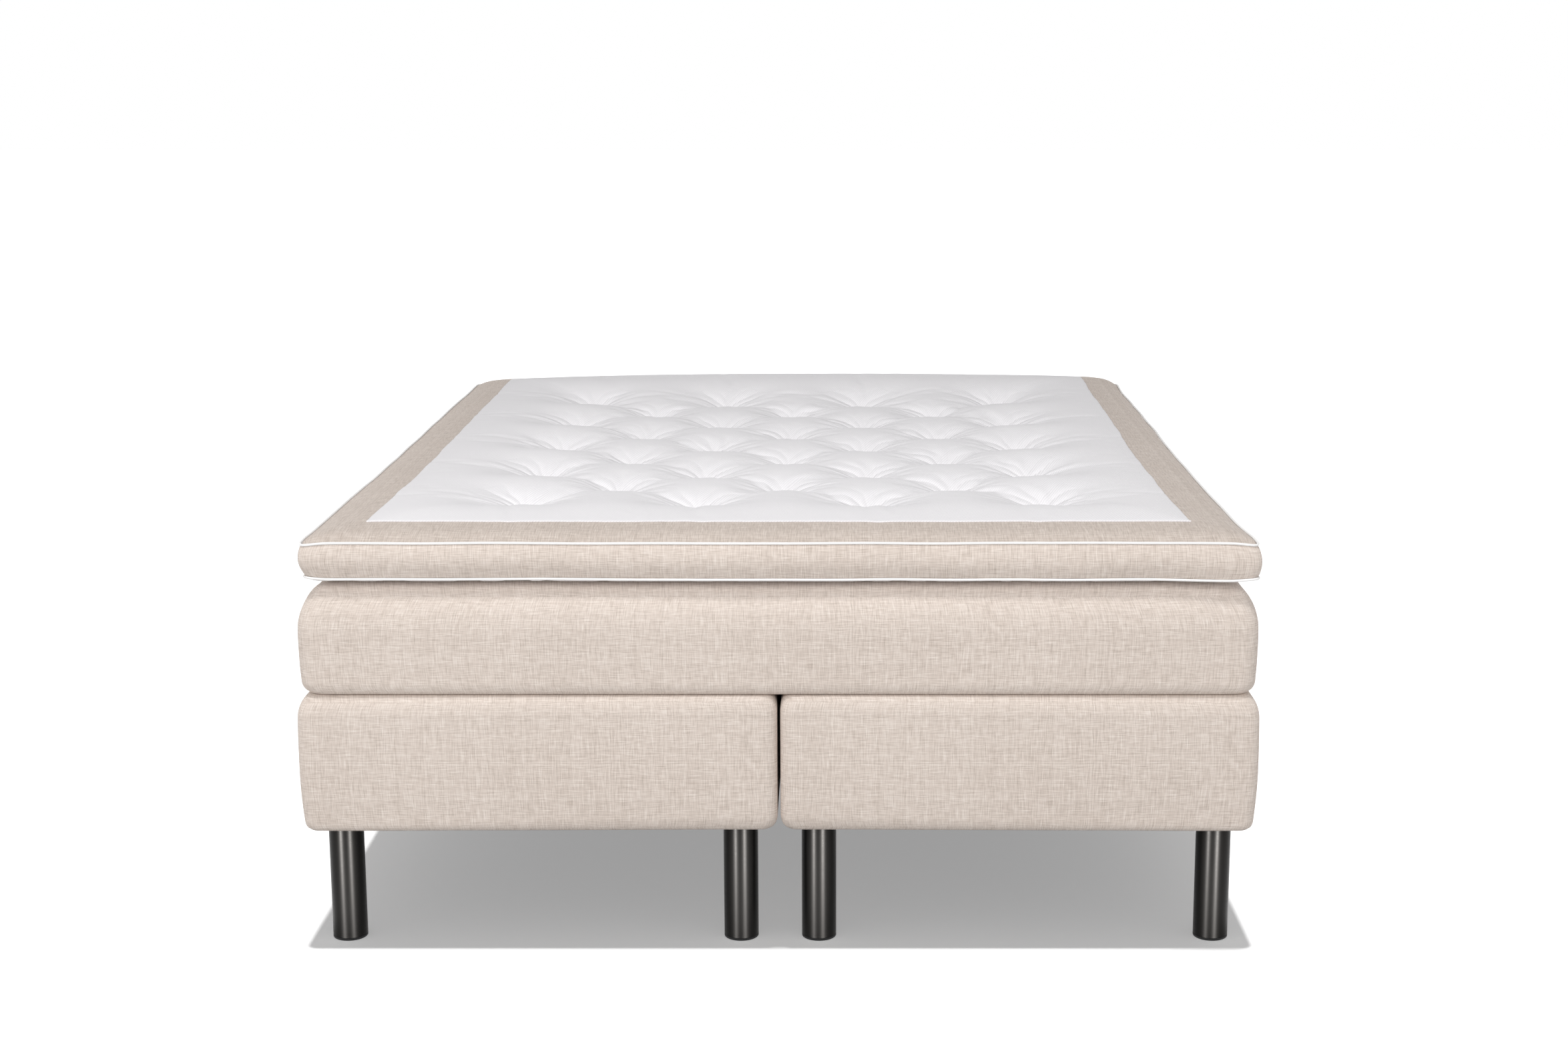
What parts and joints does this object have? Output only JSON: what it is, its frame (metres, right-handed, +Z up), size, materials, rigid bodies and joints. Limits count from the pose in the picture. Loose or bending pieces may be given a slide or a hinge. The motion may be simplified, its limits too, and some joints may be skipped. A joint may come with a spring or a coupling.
{
  "type": "box spring bed",
  "caption": "Double box spring bed: upholstered spring bases side by side on round steel legs, a pocket spring mattress across both, and a tufted topper with piped edges.",
  "frame": {"origin": "on the floor, under the middle of the bed", "axes": "+Z up; +Y along the bed from its foot end to its head end; +X to the right seen from the foot end"},
  "size_m": [1.632, 2.013, 0.7689],
  "materials": {
    "linen": "woven, matt, beige",
    "ticking": "fine twill, matt, off-white",
    "piping_cotton": "cotton-covered cord, matt, white",
    "leg_steel": "black nickel, satin",
    "glide_plastic": "moulded, black",
    "zinc_steel": "zinc plated",
    "pine": "planed, raw",
    "plywood": "sanded, raw",
    "pocket_cloth": "non-woven, white",
    "felt": "needle felt, grey",
    "foam": "open-cell foam, cream",
    "dust_cloth": "non-woven, black"
  },
  "bodies": {
    "left_base": {"left_base_cover": "linen", "left_base_outer_rail": "pine", "left_base_inner_rail": "pine", "left_base_foot_rail": "pine", "left_base_head_rail": "pine", "left_base_cross_rail": "pine", "left_base_deck": "plywood", "left_base_spring_unit": "pocket_cloth", "left_base_felt_pad": "felt", "left_base_foam_pad": "foam", "left_base_dust_cover": "dust_cloth", "left_foot_inner_tee_nut": "zinc_steel", "left_foot_outer_tee_nut": "zinc_steel", "left_head_inner_tee_nut": "zinc_steel", "left_head_outer_tee_nut": "zinc_steel"},
    "right_base": {"right_base_cover": "linen", "right_base_outer_rail": "pine", "right_base_inner_rail": "pine", "right_base_foot_rail": "pine", "right_base_head_rail": "pine", "right_base_cross_rail": "pine", "right_base_deck": "plywood", "right_base_spring_unit": "pocket_cloth", "right_base_felt_pad": "felt", "right_base_foam_pad": "foam", "right_base_dust_cover": "dust_cloth", "right_foot_inner_tee_nut": "zinc_steel", "right_foot_outer_tee_nut": "zinc_steel", "right_head_inner_tee_nut": "zinc_steel", "right_head_outer_tee_nut": "zinc_steel"},
    "mattress": {"mattress_cover": "linen", "mattress_bottom_panel": "dust_cloth", "mattress_pocket_spring_core": "pocket_cloth", "mattress_foam_wall": "foam", "mattress_top_foam": "foam", "mattress_bottom_foam": "foam"},
    "topper": {"topper_tufted_panel": "ticking", "topper_border_band": "linen", "topper_boxing": "linen", "topper_underside": "ticking", "topper_core": "foam", "topper_upper_piping": "piping_cotton", "topper_lower_piping": "piping_cotton"},
    "left_foot_inner_leg": {"left_foot_inner_leg": "leg_steel", "left_foot_inner_leg_glide": "glide_plastic"},
    "left_foot_outer_leg": {"left_foot_outer_leg": "leg_steel", "left_foot_outer_leg_glide": "glide_plastic"},
    "left_head_inner_leg": {"left_head_inner_leg": "leg_steel", "left_head_inner_leg_glide": "glide_plastic"},
    "left_head_outer_leg": {"left_head_outer_leg": "leg_steel", "left_head_outer_leg_glide": "glide_plastic"},
    "right_foot_inner_leg": {"right_foot_inner_leg": "leg_steel", "right_foot_inner_leg_glide": "glide_plastic"},
    "right_foot_outer_leg": {"right_foot_outer_leg": "leg_steel", "right_foot_outer_leg_glide": "glide_plastic"},
    "right_head_inner_leg": {"right_head_inner_leg": "leg_steel", "right_head_inner_leg_glide": "glide_plastic"},
    "right_head_outer_leg": {"right_head_outer_leg": "leg_steel", "right_head_outer_leg_glide": "glide_plastic"}
  },
  "joints": [
    {"name": "right_base_slide", "type": "slide", "parent": "left_base", "child": "right_base", "axis": [1, 0, 0], "range_m": [0, 0.3]},
    {"name": "mattress_lift", "type": "slide", "parent": "left_base", "child": "mattress", "axis": [0, 0, 1], "range_m": [0, 0.3]},
    {"name": "topper_lift", "type": "slide", "parent": "mattress", "child": "topper", "axis": [0, 0, 1], "range_m": [0, 0.3]},
    {"name": "left_foot_inner_leg_screw", "type": "hinge", "parent": "left_base", "child": "left_foot_inner_leg", "pos_m": [-0.068, -0.941, 0], "axis": [0, 0, -1], "range_deg": [0, 360]},
    {"name": "left_foot_outer_leg_screw", "type": "hinge", "parent": "left_base", "child": "left_foot_outer_leg", "pos_m": [-0.754, -0.941, 0], "axis": [0, 0, -1], "range_deg": [0, 360]},
    {"name": "left_head_inner_leg_screw", "type": "hinge", "parent": "left_base", "child": "left_head_inner_leg", "pos_m": [-0.068, 0.941, 0], "axis": [0, 0, -1], "range_deg": [0, 360]},
    {"name": "left_head_outer_leg_screw", "type": "hinge", "parent": "left_base", "child": "left_head_outer_leg", "pos_m": [-0.754, 0.941, 0], "axis": [0, 0, -1], "range_deg": [0, 360]},
    {"name": "right_foot_inner_leg_screw", "type": "hinge", "parent": "right_base", "child": "right_foot_inner_leg", "pos_m": [0.068, -0.941, 0], "axis": [0, 0, -1], "range_deg": [0, 360]},
    {"name": "right_foot_outer_leg_screw", "type": "hinge", "parent": "right_base", "child": "right_foot_outer_leg", "pos_m": [0.754, -0.941, 0], "axis": [0, 0, -1], "range_deg": [0, 360]},
    {"name": "right_head_inner_leg_screw", "type": "hinge", "parent": "right_base", "child": "right_head_inner_leg", "pos_m": [0.068, 0.941, 0], "axis": [0, 0, -1], "range_deg": [0, 360]},
    {"name": "right_head_outer_leg_screw", "type": "hinge", "parent": "right_base", "child": "right_head_outer_leg", "pos_m": [0.754, 0.941, 0], "axis": [0, 0, -1], "range_deg": [0, 360]}
  ]
}
